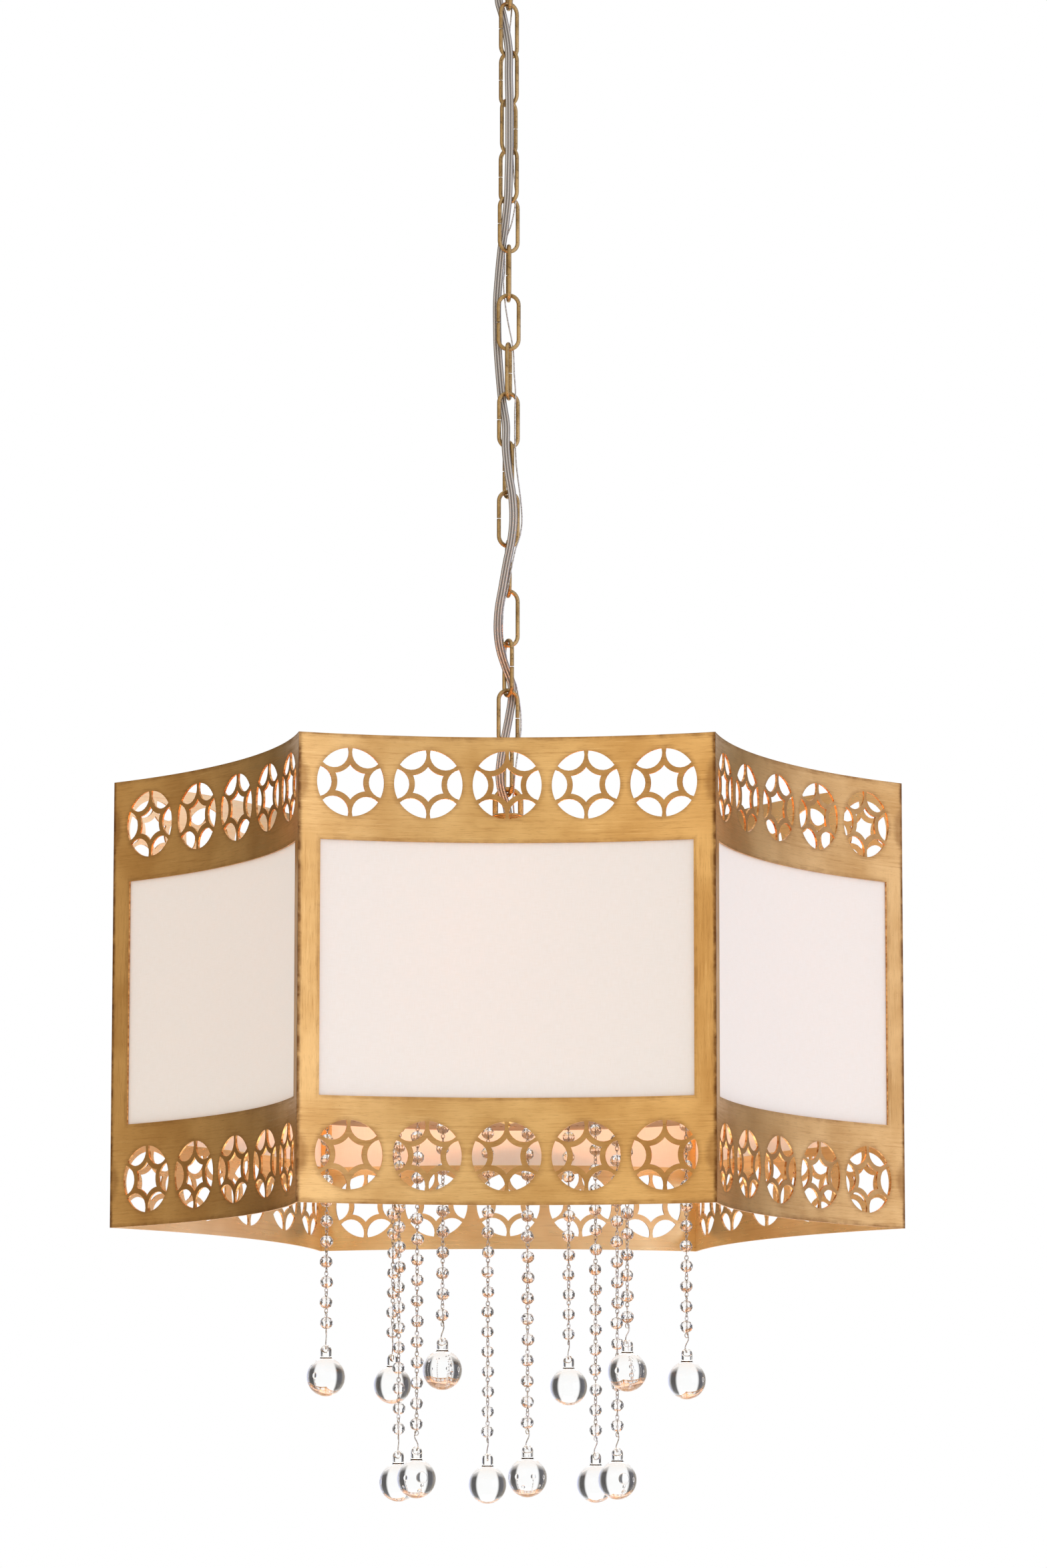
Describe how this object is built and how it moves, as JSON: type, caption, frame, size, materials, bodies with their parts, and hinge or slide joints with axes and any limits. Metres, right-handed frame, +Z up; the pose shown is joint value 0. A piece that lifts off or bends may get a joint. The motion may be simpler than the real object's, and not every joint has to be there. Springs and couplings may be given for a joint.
{
  "type": "hanging lantern",
  "caption": "Six-sided pendant lantern of inward-bowed pierced brass sheets with linen diffusers, hung on a link chain from a ceiling canopy, with glass-bead strands below.",
  "frame": {"origin": "centre of the canopy's flat ceiling face, on the mounting strap's top", "axes": "+Z up into the ceiling, -Y out of the front side sheet, +X to the right of a person facing that sheet; the corners of the six-sided frame lie at 0, 60, 120, 180, 240 and 300 degrees from +X"},
  "size_m": [0.6096, 0.5282, 1.2659],
  "materials": {
    "antique_brass": "brushed by hand, brown glaze in the recesses, satin lacquer",
    "aged_brass": "antiqued, satin",
    "zinc_steel": "zinc plated",
    "bare_wire": "tinned wire, bare",
    "clear_vinyl": "clear vinyl over stranded cores, glossy",
    "linen": "off-white linen weave, laminated, matt",
    "phenolic": "moulded, matt",
    "lamp_glass": "frosted bulb, lit warm",
    "clear_glass": "clear glass on plated wire"
  },
  "bodies": {
    "canopy": {"ceiling_canopy": "antique_brass", "mounting_strap": "zinc_steel", "lock_nut": "zinc_steel", "canopy_loop": "aged_brass"},
    "chain": {"chain_link_01": "aged_brass", "chain_link_02": "aged_brass", "chain_link_03": "aged_brass", "chain_link_04": "aged_brass", "chain_link_05": "aged_brass", "chain_link_06": "aged_brass", "chain_link_07": "aged_brass", "chain_link_08": "aged_brass", "chain_link_09": "aged_brass", "chain_link_10": "aged_brass", "chain_link_11": "aged_brass", "chain_link_12": "aged_brass", "chain_link_13": "aged_brass", "chain_link_14": "aged_brass", "chain_link_15": "aged_brass", "chain_link_16": "aged_brass", "chain_link_17": "aged_brass", "supply_cord": "clear_vinyl", "earth_wire": "bare_wire"},
    "lantern": {"hanging_loop": "aged_brass", "centre_rod": "aged_brass", "frame_spider": "antique_brass", "side_panel_01": "antique_brass", "side_panel_02": "antique_brass", "side_panel_03": "antique_brass", "side_panel_04": "antique_brass", "side_panel_05": "antique_brass", "side_panel_06": "antique_brass", "linen_diffuser_01": "linen", "linen_diffuser_02": "linen", "linen_diffuser_03": "linen", "linen_diffuser_04": "linen", "linen_diffuser_05": "linen", "linen_diffuser_06": "linen", "lamp_cluster": "aged_brass", "lamp_socket_01": "phenolic", "lamp_socket_02": "phenolic", "lamp_socket_03": "phenolic", "bulb_01": "lamp_glass", "bulb_02": "lamp_glass", "bulb_03": "lamp_glass", "bottom_plate": "aged_brass", "finial": "antique_brass"},
    "short_strand_01": {"short_strand_01": "clear_glass"},
    "short_strand_02": {"short_strand_02": "clear_glass"},
    "short_strand_03": {"short_strand_03": "clear_glass"},
    "short_strand_04": {"short_strand_04": "clear_glass"},
    "short_strand_05": {"short_strand_05": "clear_glass"},
    "short_strand_06": {"short_strand_06": "clear_glass"},
    "long_strand_01": {"long_strand_01": "clear_glass"},
    "long_strand_02": {"long_strand_02": "clear_glass"},
    "long_strand_03": {"long_strand_03": "clear_glass"},
    "long_strand_04": {"long_strand_04": "clear_glass"},
    "long_strand_05": {"long_strand_05": "clear_glass"},
    "long_strand_06": {"long_strand_06": "clear_glass"}
  },
  "joints": [
    {"name": "pendant_swing", "type": "hinge", "parent": "canopy", "child": "chain", "pos_m": [0, 0, -0.0571], "axis": [0.9848, 0.1736, 0], "range_deg": [-12, 12]},
    {"name": "lantern_swing", "type": "hinge", "parent": "chain", "child": "lantern", "pos_m": [0, 0, -0.7184], "axis": [1, 0, 0], "range_deg": [-12, 12]},
    {"name": "short_strand_01_swing", "type": "hinge", "parent": "lantern", "child": "short_strand_01", "pos_m": [0.13787, 0.02431, -0.95991], "axis": [0.1736, -0.9848, 0], "range_deg": [-8, 8]},
    {"name": "short_strand_02_swing", "type": "hinge", "parent": "lantern", "child": "short_strand_02", "pos_m": [0.04788, 0.13156, -0.95991], "axis": [0.9397, -0.342, 0], "range_deg": [-8, 8]},
    {"name": "short_strand_03_swing", "type": "hinge", "parent": "lantern", "child": "short_strand_03", "pos_m": [-0.08999, 0.10725, -0.95991], "axis": [0.766, 0.6428, 0], "range_deg": [-8, 8]},
    {"name": "short_strand_04_swing", "type": "hinge", "parent": "lantern", "child": "short_strand_04", "pos_m": [-0.13787, -0.02431, -0.95991], "axis": [-0.1736, 0.9848, 0], "range_deg": [-8, 8]},
    {"name": "short_strand_05_swing", "type": "hinge", "parent": "lantern", "child": "short_strand_05", "pos_m": [-0.04788, -0.13156, -0.95991], "axis": [-0.9397, 0.342, 0], "range_deg": [-8, 8]},
    {"name": "short_strand_06_swing", "type": "hinge", "parent": "lantern", "child": "short_strand_06", "pos_m": [0.08999, -0.10725, -0.95991], "axis": [-0.766, -0.6428, 0], "range_deg": [-8, 8]},
    {"name": "long_strand_01_swing", "type": "hinge", "parent": "lantern", "child": "long_strand_01", "pos_m": [0.06818, 0.05721, -0.95991], "axis": [0.6428, -0.766, 0], "range_deg": [-8, 8]},
    {"name": "long_strand_02_swing", "type": "hinge", "parent": "lantern", "child": "long_strand_02", "pos_m": [-0.01545, 0.08765, -0.95991], "axis": [0.9848, 0.1736, 0], "range_deg": [-8, 8]},
    {"name": "long_strand_03_swing", "type": "hinge", "parent": "lantern", "child": "long_strand_03", "pos_m": [-0.08363, 0.03044, -0.95991], "axis": [0.342, 0.9397, 0], "range_deg": [-8, 8]},
    {"name": "long_strand_04_swing", "type": "hinge", "parent": "lantern", "child": "long_strand_04", "pos_m": [-0.06818, -0.05721, -0.95991], "axis": [-0.6428, 0.766, 0], "range_deg": [-8, 8]},
    {"name": "long_strand_05_swing", "type": "hinge", "parent": "lantern", "child": "long_strand_05", "pos_m": [0.01545, -0.08765, -0.95991], "axis": [-0.9848, -0.1736, 0], "range_deg": [-8, 8]},
    {"name": "long_strand_06_swing", "type": "hinge", "parent": "lantern", "child": "long_strand_06", "pos_m": [0.08363, -0.03044, -0.95991], "axis": [-0.342, -0.9397, 0], "range_deg": [-8, 8]}
  ]
}
